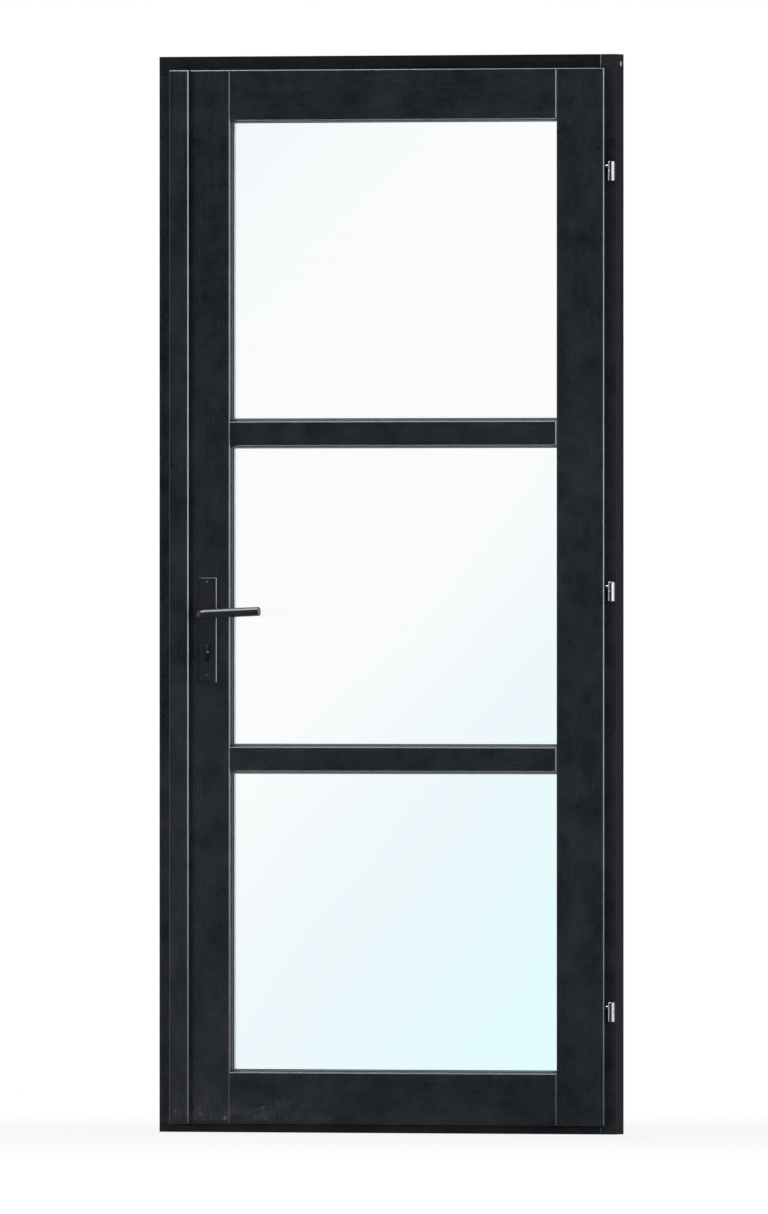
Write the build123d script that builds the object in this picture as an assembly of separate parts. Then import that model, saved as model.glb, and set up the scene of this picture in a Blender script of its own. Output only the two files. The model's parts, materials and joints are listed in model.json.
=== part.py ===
from build123d import *
import os

# Glazed door set: a lipped leaf with three panes, hung in its own frame.
# Origin: middle of the sill's underside. +X runs from the lock side to the hinge side,
# -Y faces the side that the leaf opens to, +Z is up. Lengths are in millimetres.

# Frame
frame_width = 980.0
frame_height = 2180.0
frame_depth = 48.0
hinge_jamb_width = 31.3
lock_jamb_width = 53.0
head_height = 38.5
sill_height = 21.0
stop_reach = 12.0
stop_depth = 16.0
frame_arris = 2.0
gasket_width = 8.0
gasket_inset = 1.5
gasket_gap = 0.3

# Leaf
leaf_thickness = 44.0
leaf_proud = 15.0
edge_gap = 3.0
lip_gap = 1.0
lip_cover_hinge = 11.3
lip_cover_top = 11.0
lip_cover_bottom = 3.5
lock_stile_width = 101.0
hinge_stile_width = 102.0
top_rail_height = 105.0
bottom_rail_height = 108.0
bar_height = 55.0
sight_splay = 4.0
leaf_arris = 3.0
dowel_radius = 6.0
dowel_depth = 50.0
dowel_gap = 0.02

# Cover strip along the lock edge
strip_width = 42.0
strip_lap = 16.0
strip_thickness = 12.0
strip_arris = 3.0

# Glazing
glass_setback = 16.0
sheet_thickness = 4.0
cavity_thickness = 8.0
rebate_width = 12.0
glass_edge_gap = 3.0
spacer_height = 12.0
seal_width = 2.0
seal_depth = 2.5
bead_chamfer = 6.0
block_length = 80.0
block_inset_share = 0.15

# Hinges, drilled into the leaf's lip and the jamb's face
upper_hinge_drop = 236.0
lower_hinge_rise = 247.0
knuckle_radius = 7.0
knuckle_gap = 0.5
hinge_edge_inset = 7.5
hinge_length = 39.5
hinge_split = 0.3
hinge_chamfer = 1.0
pin_radius = 4.0
pin_fit = 0.05
seat_gap = 0.02
pin_cap = 4.0
stud_radius = 3.5
leaf_stud_depth = 30.0
jamb_stud_depth = 35.0

# Lock
handle_height = 1050.0
backset = 55.0
cylinder_drop = 72.0
lock_setback = 27.0
case_depth = 80.0
case_thickness = 15.0
case_wall = 1.5
case_above = 45.0
case_below = 45.0
mortise_gap = 0.3
forend_thickness = 3.0
forend_width = 20.0
forend_overlap = 25.0
bolt_side_gap = 0.3
screw_radius = 2.2
screw_head_radius = 4.2
screw_head_depth = 2.4
screw_length = 28.0
forend_screw_inset = 9.0

# Latch and follower
latch_height = 24.0
latch_rise = 24.0
latch_throw = 12.0
latch_head_length = 26.0
latch_bevel = 8.0
latch_nose = 2.5
tail_height = 8.0
tail_thickness = 6.0
lug_width = 6.0
lug_drop = 7.0
follower_radius = 11.0
journal_radius = 9.0
arm_half_width = 3.0
arm_reach = 17.0
arm_gap = 0.4
spindle_side = 8.0
spindle_fit = 0.05
spindle_insertion = 20.0
spindle_hole_radius = 10.0

# Deadbolt and cylinder
bolt_height = 36.0
bolt_head_length = 34.0
bolt_throw = 20.0
bolt_inset = 0.5
bolt_tail_height = 10.0
bolt_tail_reach = 15.0
talon_width = 10.0
talon_depth = 5.0
cylinder_radius = 8.5
cylinder_leg_width = 10.0
cylinder_full_height = 33.0
cylinder_proud = 5.0
cylinder_hole_gap = 0.3
plug_radius = 6.5
plug_fit = 0.05
keyway_width = 2.6
keyway_height = 8.5
keyway_depth = 14.0
cam_radius = 15.0
cam_clearance = 0.5
cam_width = 9.6
cam_slot_width = 10.4
cam_nose_width = 9.0
cylinder_screw_radius = 2.5
cylinder_screw_head_radius = 4.6
cylinder_screw_head_depth = 2.4
cylinder_screw_drop = 20.0

# Strike on the lock jamb
strike_thickness = 3.0
strike_end_margin = 22.0
strike_hole_gap = 1.0
strike_pocket_clear = 5.0
strike_screw_inset = 9.0

# Handle furniture
plate_height = 212.0
plate_width = 38.0
plate_thickness = 4.0
plate_rise = 74.0
plate_corner = 2.5
plate_edge = 1.5
plate_screw_inset = 11.5
plate_screw_radius = 2.5
plate_screw_gap = 0.6
plate_screw_head_radius = 4.6
plate_screw_head_depth = 2.6
lever_radius = 9.25
lever_standoff = 53.0
lever_reach = 129.0
lever_rise = 5.5
elbow_radius = 10.5
lever_end_chamfer = 1.0
knob_radius = 23.0
knob_neck_length = 30.0
knob_reach = 56.0
knob_rim = 6.0
knob_back_chamfer = 5.0
lever_fit = 0.05
lever_seat_gap = 0.3

# Frame corner screws
corner_screw_radius = 2.5
corner_screw_head_radius = 5.0
corner_screw_head_depth = 3.0
corner_screw_length = 80.0
corner_screw_setback = 31.5

# One overrun for every cut that leaves its piece
overrun = 1.0

# Planes and edges that several pieces share
frame_front = -frame_depth / 2
frame_back = frame_depth / 2
frame_left = -frame_width / 2
frame_right = frame_width / 2
stop_front = frame_back - stop_depth
lock_face = frame_left + lock_jamb_width
hinge_face = frame_right - hinge_jamb_width
head_face = frame_height - head_height

leaf_front = frame_front - leaf_proud
leaf_back = leaf_front + leaf_thickness
lip_back = frame_front - lip_gap
leaf_left = lock_face + edge_gap
leaf_right = hinge_face - edge_gap
leaf_top = head_face - edge_gap
leaf_bottom = sill_height + edge_gap
lip_right = hinge_face + lip_cover_hinge
lip_top = head_face + lip_cover_top
lip_bottom = sill_height - lip_cover_bottom

sight_left = leaf_left + lock_stile_width
sight_right = lip_right - hinge_stile_width
sight_top = lip_top - top_rail_height
sight_bottom = lip_bottom + bottom_rail_height
pane_count = 3
pane_height = (sight_top - sight_bottom - bar_height * (pane_count - 1)) / pane_count
pane_pitch = pane_height + bar_height
pane_bottoms = [sight_bottom + pane_pitch * index for index in range(pane_count)]
pane_names = ["lower", "middle", "upper"]
glass_front = leaf_front + glass_setback
glass_back = glass_front + sheet_thickness * 2 + cavity_thickness
glass_margin = rebate_width - glass_edge_gap

hinge_x = frame_right - hinge_edge_inset
hinge_y = frame_front - knuckle_radius - knuckle_gap
upper_hinge_height = frame_height - upper_hinge_drop
hinge_heights = {
    "upper": upper_hinge_height,
    "middle": (upper_hinge_height + lower_hinge_rise) / 2,
    "lower": lower_hinge_rise,
}

spindle_x = leaf_left + backset
lock_y = leaf_front + lock_setback
cylinder_height = handle_height - cylinder_drop
case_front = leaf_left + forend_thickness
case_back = case_front + case_depth
case_top = handle_height + case_above
case_bottom = cylinder_height - case_below
forend_top = case_top + forend_overlap
forend_bottom = case_bottom - forend_overlap
bolt_thickness = case_thickness - case_wall * 2 - bolt_side_gap * 2
latch_middle = handle_height + latch_rise
bolt_tail_bottom = cylinder_height + cam_radius + cam_clearance * 2
bolt_top = bolt_tail_bottom + bolt_tail_height
bolt_bottom = bolt_top - bolt_height
strike_pocket_end = leaf_left - bolt_throw - strike_pocket_clear
strike_top = latch_middle + latch_height / 2 + strike_end_margin
strike_bottom = bolt_bottom - strike_end_margin
plate_top = handle_height + plate_rise
plate_bottom = plate_top - plate_height
plate_screw_heights = [plate_bottom + plate_screw_inset, plate_top - plate_screw_inset]


def block(x_low, x_high, y_low, y_high, z_low, z_high):
    """Box between two opposite corners."""
    middle = Pos((x_low + x_high) / 2, (y_low + y_high) / 2, (z_low + z_high) / 2)
    return middle * Box(x_high - x_low, y_high - y_low, z_high - z_low)


def rod_x(x_low, x_high, y, z, radius):
    """Cylinder along X."""
    return Pos((x_low + x_high) / 2, y, z) * Rot(0, 90, 0) * Cylinder(radius, x_high - x_low)


def rod_y(x, y_low, y_high, z, radius):
    """Cylinder along Y."""
    return Pos(x, (y_low + y_high) / 2, z) * Rot(90, 0, 0) * Cylinder(radius, y_high - y_low)


def rod_z(x, y, z_low, z_high, radius):
    """Cylinder along Z."""
    return Pos(x, y, (z_low + z_high) / 2) * Cylinder(radius, z_high - z_low)


def front_edges(piece):
    """Edges of the face that looks to -Y."""
    return piece.faces().sort_by(Axis.Y)[0].edges()


def right_end(edges):
    """The upright edge that lies farthest to the hinge side."""
    return edges.filter_by(Axis.Z).sort_by(Axis.X)[-1:]


def countersunk(radius, length, head_radius, head_depth):
    """Screw with its head's face at the origin and its tip towards -Z."""
    shank = Pos(0, 0, -length / 2) * Cylinder(radius, length)
    head = Pos(0, 0, -head_depth / 2) * Cone(radius, head_radius, head_depth)
    return shank + head


os.makedirs("parts", exist_ok=True)


def save(name, *solids):
    """Write one node: a single solid, or a group of like solids."""
    shape = solids[0] if len(solids) == 1 else Compound(list(solids))
    export_step(shape, f"parts/{name}.step")


# Frame: the hinge jamb runs through, the head and sill pass over and under the lock jamb.

corner_screw_y = frame_front + corner_screw_setback
lock_jamb_middle = frame_left + lock_jamb_width / 2
corner_screw = countersunk(
    corner_screw_radius, corner_screw_length, corner_screw_head_radius, corner_screw_head_depth
)
corner_screws = [
    Pos(frame_right, corner_screw_y, frame_height - head_height / 2) * Rot(0, 90, 0) * corner_screw,
    Pos(frame_right, corner_screw_y, sill_height / 2) * Rot(0, 90, 0) * corner_screw,
    Pos(lock_jamb_middle, corner_screw_y, frame_height) * corner_screw,
    Pos(lock_jamb_middle, corner_screw_y, 0) * Rot(180, 0, 0) * corner_screw,
]


def drilled(piece):
    """Take the corner screws' holes out of a frame member."""
    for screw in corner_screws:
        piece = piece - screw
    return piece


def knuckle_holes(piece, stud_bottom_up):
    """Take the hinge studs' holes out of a jamb or a stile."""
    for height in hinge_heights.values():
        piece = piece - stud_bottom_up(height)
    return piece


def jamb_stud(height, gap=0):
    """Stud of a hinge's lower half, square to the jamb's face."""
    stud_z = height - hinge_length / 4
    return rod_y(hinge_x, hinge_y, frame_front + jamb_stud_depth + gap, stud_z, stud_radius + gap)


def leaf_stud(height, gap=0):
    """Stud of a hinge's upper half, into the edge of the leaf's lip."""
    stud_z = height + hinge_length / 4
    return rod_x(lip_right - leaf_stud_depth - gap, hinge_x, hinge_y, stud_z, stud_radius + gap)


def make_hinge_jamb():
    face = block(hinge_face, frame_right, frame_front, frame_back, 0, frame_height)
    stop = block(hinge_face - stop_reach, hinge_face, stop_front, frame_back, 0, frame_height)
    return knuckle_holes(drilled(face + stop), lambda height: jamb_stud(height, seat_gap))


def strike_openings(x_low, x_high):
    """Spaces for the latch and the deadbolt, through the strike and into the jamb."""
    half = bolt_thickness / 2 + strike_hole_gap
    spans = [
        (latch_middle - latch_height / 2, latch_middle + latch_height / 2),
        (bolt_bottom, bolt_top),
    ]
    return [
        block(x_low, x_high, lock_y - half, lock_y + half, low - strike_hole_gap, high + strike_hole_gap)
        for low, high in spans
    ]


strike_screw = Rot(0, 90, 0) * countersunk(screw_radius, screw_length, screw_head_radius, screw_head_depth)
strike_screws = [
    Pos(lock_face, lock_y, height) * strike_screw
    for height in (strike_bottom + strike_screw_inset, strike_top - strike_screw_inset)
]


def make_lock_jamb():
    face = block(frame_left, lock_face, frame_front, frame_back, sill_height, head_face)
    stop = block(lock_face, lock_face + stop_reach, stop_front, frame_back, sill_height, head_face)
    jamb = drilled(face + stop)
    half = forend_width / 2
    jamb = jamb - block(
        lock_face - strike_thickness, lock_face, lock_y - half, lock_y + half, strike_bottom, strike_top
    )
    for space in strike_openings(strike_pocket_end, lock_face):
        jamb = jamb - space
    for screw in strike_screws:
        jamb = jamb - screw
    return jamb


def make_cross_member(z_low, z_high, stop_low, stop_high):
    """Head or sill: a face that butts the hinge jamb, and a stop between the jambs' stops."""
    face = block(frame_left, hinge_face, frame_front, frame_back, z_low, z_high)
    face = fillet(right_end(front_edges(face)), frame_arris)
    hinge_stop = hinge_face - stop_reach
    face = face - block(hinge_stop, hinge_face, stop_front, frame_back, z_low, z_high)
    stop = block(lock_face + stop_reach, hinge_stop, stop_front, frame_back, stop_low, stop_high)
    return drilled(face + stop)


def make_gasket():
    """Four strips on the stops' faces, just clear of the closed leaf."""
    y_low = leaf_back + gasket_gap
    left = lock_face + gasket_inset
    right = hinge_face - gasket_inset
    low = sill_height + gasket_inset
    high = head_face - gasket_inset
    upright_low = low + gasket_width
    upright_high = high - gasket_width
    return [
        block(left, right, y_low, stop_front, low, upright_low),
        block(left, right, y_low, stop_front, upright_high, high),
        block(left, left + gasket_width, y_low, stop_front, upright_low, upright_high),
        block(right - gasket_width, right, y_low, stop_front, upright_low, upright_high),
    ]


def make_strike():
    half = forend_width / 2
    plate = block(
        lock_face - strike_thickness, lock_face, lock_y - half, lock_y + half, strike_bottom, strike_top
    )
    for space in strike_openings(lock_face - strike_thickness, lock_face):
        plate = plate - space
    for screw in strike_screws:
        plate = plate - screw
    return plate


save("hinge_jamb", make_hinge_jamb())
save("lock_jamb", make_lock_jamb())
save("head", make_cross_member(head_face, frame_height, head_face - stop_reach, head_face))
save("sill", make_cross_member(0, sill_height, sill_height, sill_height + stop_reach))
save("stop_gasket", *make_gasket())
save("strike_plate", make_strike())
save("strike_screws", *strike_screws)
save("corner_screws", *corner_screws)

# Hinges: the lower half and the pin belong to the frame, the upper half to the leaf.


def make_knuckle(z_low, z_high, stud, bore, outer_end):
    """One half of a hinge: a turned knuckle with its stud, bored for the pin."""
    knuckle = rod_z(hinge_x, hinge_y, z_low, z_high, knuckle_radius)
    knuckle = chamfer(knuckle.faces().sort_by(Axis.Z)[outer_end].edges(), hinge_chamfer)
    return knuckle + stud - bore


for hinge_name, hinge_z in hinge_heights.items():
    hinge_bottom = hinge_z - hinge_length / 2
    hinge_top = hinge_z + hinge_length / 2
    pin_bottom = hinge_bottom + pin_cap
    pin_top = hinge_top - pin_cap
    lower_bore = rod_z(hinge_x, hinge_y, pin_bottom, hinge_z, pin_radius + seat_gap)
    upper_bore = rod_z(hinge_x, hinge_y, hinge_z, pin_top + hinge_split, pin_radius + pin_fit)
    lower_half = make_knuckle(hinge_bottom, hinge_z, jamb_stud(hinge_z), lower_bore, 0)
    upper_half = make_knuckle(hinge_z + hinge_split, hinge_top, leaf_stud(hinge_z), upper_bore, -1)
    save(f"{hinge_name}_hinge_jamb_half", lower_half)
    save(f"{hinge_name}_hinge_leaf_half", upper_half)
    save(f"{hinge_name}_hinge_pin", rod_z(hinge_x, hinge_y, pin_bottom, pin_top, pin_radius))

# Leaf: stiles run the full height, rails and bars sit between them, all rebated for the glass.


def rebates():
    """Space for each pane and its beads, open to the back."""
    return [
        block(
            sight_left - rebate_width,
            sight_right + rebate_width,
            glass_front,
            leaf_back + overrun,
            bottom - rebate_width,
            bottom + pane_height + rebate_width,
        )
        for bottom in pane_bottoms
    ]


dowel_y = (leaf_front + leaf_back) / 2
bar_middles = [bottom - bar_height / 2 for bottom in pane_bottoms[1:]]
rail_webs = [
    (leaf_bottom, sight_bottom - rebate_width),
    (sight_top + rebate_width, leaf_top),
]
rail_dowel_shares = [0.25, 0.75]
dowel_heights = bar_middles + [
    low + (high - low) * share for low, high in rail_webs for share in rail_dowel_shares
]


def make_dowels(gap=0):
    """Round dowels across every joint of the leaf."""
    reach = dowel_depth + gap
    return [
        rod_x(joint - reach, joint + reach, dowel_y, height, dowel_radius + gap)
        for joint in (sight_left, sight_right)
        for height in dowel_heights
    ]


def leaf_member(lip, body):
    """Front part that laps the frame, and the thinner part behind it, rebated and drilled."""
    piece = lip + block(*body)
    for space in rebates():
        piece = piece - space
    for dowel in make_dowels(dowel_gap):
        piece = piece - dowel
    return piece


def rail(z_low, z_high, body_low, body_high, low_splay=0, high_splay=0):
    """Rail or bar between the stiles, with its edges beside the glass splayed towards the front."""
    points = [
        (leaf_front, z_low + low_splay),
        (lip_back, z_low),
        (lip_back, z_high),
        (leaf_front, z_high - high_splay),
    ]
    section = Plane.YZ.offset(sight_left) * make_face(Polyline(*points, close=True))
    lip = extrude(section, sight_right - sight_left, dir=(1, 0, 0))
    edges = front_edges(lip)
    lip = fillet(edges.filter_by(Axis.X) + right_end(edges), leaf_arris)
    body = (sight_left, sight_right, lip_back, leaf_back, body_low, body_high)
    return leaf_member(lip, body)


def cylinder_section(gap=0):
    """Round-topped lock cylinder outline with its leg, in a plane square to Y."""
    leg_end = cylinder_full_height - cylinder_radius - cylinder_leg_width / 2
    leg_width = cylinder_leg_width + gap * 2
    outline = Circle(cylinder_radius + gap) + Pos(0, -leg_end / 2) * Rectangle(leg_width, leg_end)
    return outline + Pos(0, -leg_end) * Circle(leg_width / 2)


def cylinder_prism(y_low, y_high, gap=0):
    """Lock cylinder outline run through the leaf at the cylinder's height."""
    plane = Plane(origin=(spindle_x, y_high, cylinder_height), x_dir=(1, 0, 0), z_dir=(0, -1, 0))
    return extrude(plane * cylinder_section(gap), y_high - y_low)


forend_screw = Rot(0, -90, 0) * countersunk(screw_radius, screw_length, screw_head_radius, screw_head_depth)
forend_screws = [
    Pos(leaf_left, lock_y, height) * forend_screw
    for height in (forend_bottom + forend_screw_inset, forend_top - forend_screw_inset)
]


cylinder_screw_length = spindle_x + cylinder_leg_width / 2 - leaf_left
cylinder_screw = Rot(0, -90, 0) * countersunk(
    cylinder_screw_radius, cylinder_screw_length, cylinder_screw_head_radius, cylinder_screw_head_depth
)
cylinder_screw = Pos(leaf_left, lock_y, cylinder_height - cylinder_screw_drop) * cylinder_screw


def plate_screw_hole(height):
    """Clearance hole of a screw that joins the two handle plates."""
    radius = plate_screw_radius + plate_screw_gap
    return rod_y(spindle_x, leaf_front - overrun, leaf_back + overrun, height, radius)


def make_lock_stile():
    lip = block(leaf_left, sight_left, leaf_front, lip_back, lip_bottom, lip_top)
    body = (leaf_left, sight_left, lip_back, leaf_back, leaf_bottom, leaf_top)
    stile = leaf_member(fillet(front_edges(lip), leaf_arris), body)
    half_case = case_thickness / 2 + mortise_gap
    half_forend = forend_width / 2
    cuts = [
        block(
            leaf_left,
            case_back + mortise_gap,
            lock_y - half_case,
            lock_y + half_case,
            case_bottom - mortise_gap,
            case_top + mortise_gap,
        ),
        block(leaf_left, case_front, lock_y - half_forend, lock_y + half_forend, forend_bottom, forend_top),
        rod_y(spindle_x, leaf_front - overrun, leaf_back + overrun, handle_height, spindle_hole_radius),
        cylinder_prism(leaf_front - overrun, leaf_back + overrun, cylinder_hole_gap),
    ]
    cuts += [plate_screw_hole(height) for height in plate_screw_heights]
    for cut in cuts + forend_screws:
        stile = stile - cut
    return stile


def make_hinge_stile():
    lip = block(sight_right, lip_right, leaf_front, lip_back, lip_bottom, lip_top)
    body = (sight_right, leaf_right, lip_back, leaf_back, leaf_bottom, leaf_top)
    stile = leaf_member(fillet(front_edges(lip), leaf_arris), body)
    return knuckle_holes(stile, lambda height: leaf_stud(height, seat_gap))


def make_cover_strip():
    """L-shaped strip on the leaf that hides the gap along the lock edge."""
    left = leaf_left + strip_lap - strip_width
    right = leaf_left + strip_lap
    front = block(left, right, leaf_front - strip_thickness, leaf_front, lip_bottom, lip_top)
    front = fillet(front_edges(front), strip_arris)
    return front + block(left, leaf_left, leaf_front, lip_back, lip_bottom, lip_top)


save("lock_stile", make_lock_stile())
save("hinge_stile", make_hinge_stile())
save("top_rail", rail(sight_top, lip_top, sight_top, leaf_top, low_splay=sight_splay))
save("bottom_rail", rail(lip_bottom, sight_bottom, leaf_bottom, sight_bottom, high_splay=sight_splay))
for bar_name, bar_middle in zip(("lower", "upper"), bar_middles):
    bar_span = (bar_middle - bar_height / 2, bar_middle + bar_height / 2)
    save(f"{bar_name}_bar", rail(*bar_span, *bar_span, sight_splay, sight_splay))
save("joint_dowels", *make_dowels())
save("cover_strip", make_cover_strip())

# Glazing: two sheets and a spacer in each pane, on setting blocks, held by beads at the back.

glass_left = sight_left - glass_margin
glass_right = sight_right + glass_margin


def make_spacer(bottom):
    """Hollow-middled frame between the two sheets."""
    y_low = glass_front + sheet_thickness
    y_high = y_low + cavity_thickness
    low = bottom - glass_margin
    high = bottom + pane_height + glass_margin
    inset = spacer_height
    outer = block(glass_left, glass_right, y_low, y_high, low, high)
    return outer - block(
        glass_left + inset, glass_right - inset, y_low, y_high, low + inset, high - inset
    )


def make_seal(bottom):
    """Thin seal round the front of a pane, in the corner between the glass and the timber."""
    y_low = glass_front - seal_depth
    high = bottom + pane_height
    outer = block(sight_left, sight_right, y_low, glass_front, bottom, high)
    return outer - block(
        sight_left + seal_width,
        sight_right - seal_width,
        y_low,
        glass_front,
        bottom + seal_width,
        high - seal_width,
    )


def bead_profile(plane):
    """Bead section: square to the glass, bevelled to the room on the side that faces the pane."""
    depth = leaf_back - glass_back
    bevel = min(bead_chamfer, depth, rebate_width)
    points = [
        (0, 0),
        (rebate_width, 0),
        (rebate_width, depth - bevel),
        (rebate_width - bevel, depth),
        (0, depth),
    ]
    return plane * make_face(Polyline(*points, close=True))


def make_beads(bottom):
    """Two long beads and two beads cut between them."""
    low = bottom - rebate_width
    high = bottom + pane_height + rebate_width
    left = sight_left - rebate_width
    right = sight_right + rebate_width
    lower = bead_profile(Plane((right, glass_back, low), x_dir=(0, 0, 1), z_dir=(-1, 0, 0)))
    upper = bead_profile(Plane((left, glass_back, high), x_dir=(0, 0, -1), z_dir=(1, 0, 0)))
    near = bead_profile(Plane((left, glass_back, low + rebate_width), x_dir=(1, 0, 0), z_dir=(0, 0, 1)))
    far = bead_profile(Plane((right, glass_back, high - rebate_width), x_dir=(-1, 0, 0), z_dir=(0, 0, -1)))
    return [
        extrude(lower, right - left),
        extrude(upper, right - left),
        extrude(near, pane_height),
        extrude(far, pane_height),
    ]


def make_setting_blocks(bottom):
    """Two blocks that carry the pane's lower edge."""
    inset = (glass_right - glass_left) * block_inset_share
    starts = [glass_left + inset, glass_right - inset - block_length]
    low = bottom - rebate_width
    return [
        block(start, start + block_length, glass_front, glass_back, low, low + glass_edge_gap)
        for start in starts
    ]


setting_blocks = []
for pane_name, pane_bottom in zip(pane_names, pane_bottoms):
    sheet_span = (pane_bottom - glass_margin, pane_bottom + pane_height + glass_margin)
    outer_sheet = (glass_left, glass_right, glass_front, glass_front + sheet_thickness, *sheet_span)
    inner_sheet = (glass_left, glass_right, glass_back - sheet_thickness, glass_back, *sheet_span)
    save(f"{pane_name}_glass_outer", block(*outer_sheet))
    save(f"{pane_name}_glass_inner", block(*inner_sheet))
    save(f"{pane_name}_glass_spacer", make_spacer(pane_bottom))
    save(f"{pane_name}_glazing_seal", make_seal(pane_bottom))
    save(f"{pane_name}_beads", *make_beads(pane_bottom))
    setting_blocks += make_setting_blocks(pane_bottom)
save("setting_blocks", *setting_blocks)

# Lock: a thin case behind its forend, with the latch, the deadbolt and the cylinder.

bolt_half = bolt_thickness / 2
latch_span = (latch_middle - latch_height / 2, latch_middle + latch_height / 2)
bolt_span = (bolt_bottom, bolt_top)


def bolt_mouths(x_low, x_high):
    """Spaces that the latch and the deadbolt slide through."""
    half = bolt_half + bolt_side_gap
    return [
        block(x_low, x_high, lock_y - half, lock_y + half, low - bolt_side_gap, high + bolt_side_gap)
        for low, high in (latch_span, bolt_span)
    ]


def make_lock_case():
    half = case_thickness / 2
    inner_half = half - case_wall
    case = block(case_front, case_back, lock_y - half, lock_y + half, case_bottom, case_top)
    cavity = block(
        case_front + case_wall,
        case_back - case_wall,
        lock_y - inner_half,
        lock_y + inner_half,
        case_bottom + case_wall,
        case_top - case_wall,
    )
    case = case - cavity
    case = case - rod_y(spindle_x, lock_y - half, lock_y + half, handle_height, journal_radius + lever_fit)
    case = case - cylinder_prism(lock_y - half, lock_y + half, cylinder_hole_gap)
    for mouth in bolt_mouths(case_front, case_front + case_wall):
        case = case - mouth
    return case - cylinder_screw


def make_forend():
    half = forend_width / 2
    forend = block(leaf_left, case_front, lock_y - half, lock_y + half, forend_bottom, forend_top)
    for mouth in bolt_mouths(leaf_left, case_front):
        forend = forend - mouth
    for screw in forend_screws + [cylinder_screw]:
        forend = forend - screw
    return forend


def make_latch():
    """Bevelled head with a tail that runs over the follower to a lug behind its arm."""
    tip = leaf_left - latch_throw
    head_end = tip + latch_head_length
    plan = Polyline(
        (tip, lock_y - bolt_half),
        (tip, lock_y - bolt_half + latch_nose),
        (tip + latch_bevel, lock_y + bolt_half),
        (head_end, lock_y + bolt_half),
        (head_end, lock_y - bolt_half),
        close=True,
    )
    head = Pos(0, 0, latch_span[0]) * extrude(make_face(plan), latch_height)
    lug_left = spindle_x + arm_half_width + arm_gap
    lug_right = lug_left + lug_width
    tail_low = latch_middle - tail_height / 2
    tail_y = (lock_y - tail_thickness / 2, lock_y + tail_thickness / 2)
    tail = block(head_end, lug_right, *tail_y, tail_low, tail_low + tail_height)
    lug = block(lug_left, lug_right, *tail_y, tail_low - lug_drop, tail_low)
    return head + tail + lug


def make_follower():
    """Hub with journals in the case's walls, a square hole and an arm that draws the latch."""
    half = case_thickness / 2
    hub = rod_y(spindle_x, lock_y - half, lock_y + half, handle_height, journal_radius)
    flange = rod_y(spindle_x, lock_y - bolt_half, lock_y + bolt_half, handle_height, follower_radius)
    arm = block(
        spindle_x - arm_half_width,
        spindle_x + arm_half_width,
        lock_y - tail_thickness / 2,
        lock_y + tail_thickness / 2,
        handle_height,
        handle_height + arm_reach,
    )
    return hub + flange + arm - spindle_bar(lock_y - half, lock_y + half, spindle_fit)


def spindle_bar(y_low, y_high, gap=0):
    """Square bar along the handle's axis."""
    half = spindle_side / 2 + gap
    return block(
        spindle_x - half, spindle_x + half, y_low, y_high, handle_height - half, handle_height + half
    )


def make_deadbolt():
    """Solid head with a notched tail that passes over the cam."""
    left = leaf_left + bolt_inset
    head_end = left + bolt_head_length
    head = block(left, head_end, lock_y - bolt_half, lock_y + bolt_half, *bolt_span)
    tail_end = spindle_x + bolt_tail_reach
    tail = block(head_end, tail_end, lock_y - bolt_half, lock_y + bolt_half, bolt_tail_bottom, bolt_top)
    talon = block(
        spindle_x - talon_width / 2,
        spindle_x + talon_width / 2,
        lock_y - bolt_half,
        lock_y + bolt_half,
        bolt_tail_bottom,
        bolt_tail_bottom + talon_depth,
    )
    return head + tail - talon


cylinder_front = leaf_front - cylinder_proud
cylinder_back = leaf_back + cylinder_proud
cam_front = lock_y - cam_width / 2
cam_back = lock_y + cam_width / 2


def make_cylinder_body():
    """Cylinder bored for its plugs and cut through in the middle for the cam."""
    body = cylinder_prism(cylinder_front, cylinder_back)
    bore_radius = plug_radius + plug_fit
    body = body - rod_y(spindle_x, cylinder_front, cylinder_back, cylinder_height, bore_radius)
    half = cam_slot_width / 2
    slot_radius = cam_radius + cam_clearance
    body = body - rod_y(spindle_x, lock_y - half, lock_y + half, cylinder_height, slot_radius)
    return body - cylinder_screw


def make_plug(y_low, y_high, keyway_low, keyway_high):
    plug = rod_y(spindle_x, y_low, y_high, cylinder_height, plug_radius)
    half_width = keyway_width / 2
    half_height = keyway_height / 2
    return plug - block(
        spindle_x - half_width,
        spindle_x + half_width,
        keyway_low,
        keyway_high,
        cylinder_height - half_height,
        cylinder_height + half_height,
    )


def make_cam():
    """Ring between the plugs with one nose, which hangs down at rest."""
    ring = rod_y(spindle_x, cam_front, cam_back, cylinder_height, cylinder_radius)
    sweep_round = rod_y(spindle_x, cam_front, cam_back, cylinder_height, cam_radius)
    half = cam_nose_width / 2
    nose = block(
        spindle_x - half, spindle_x + half, cam_front, cam_back, cylinder_height - cam_radius, cylinder_height
    )
    return ring + (nose & sweep_round)


save("lock_case", make_lock_case())
save("lock_forend", make_forend())
save("forend_screws", *forend_screws)
save("latch_bolt", make_latch())
save("deadbolt", make_deadbolt())
save("follower", make_follower())
save("cylinder_body", make_cylinder_body())
save("cylinder_screw", cylinder_screw)
save("outer_plug", make_plug(cylinder_front, cam_front, cylinder_front, cylinder_front + keyway_depth))
save("inner_plug", make_plug(cam_back, cylinder_back, cylinder_back - keyway_depth, cylinder_back))
save("cylinder_cam", make_cam())

# Handle furniture: a plate on each side, a round-bar lever outside and a knob inside, on one spindle.


def plate_screw():
    """Screw through both plates, with its head's face at the origin and its tip towards -Z."""
    length = leaf_thickness + plate_thickness * 2
    return countersunk(plate_screw_radius, length, plate_screw_head_radius, plate_screw_head_depth)


plate_screws = [
    Pos(spindle_x, leaf_front - plate_thickness, height) * Rot(90, 0, 0) * plate_screw()
    for height in plate_screw_heights
]


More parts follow.
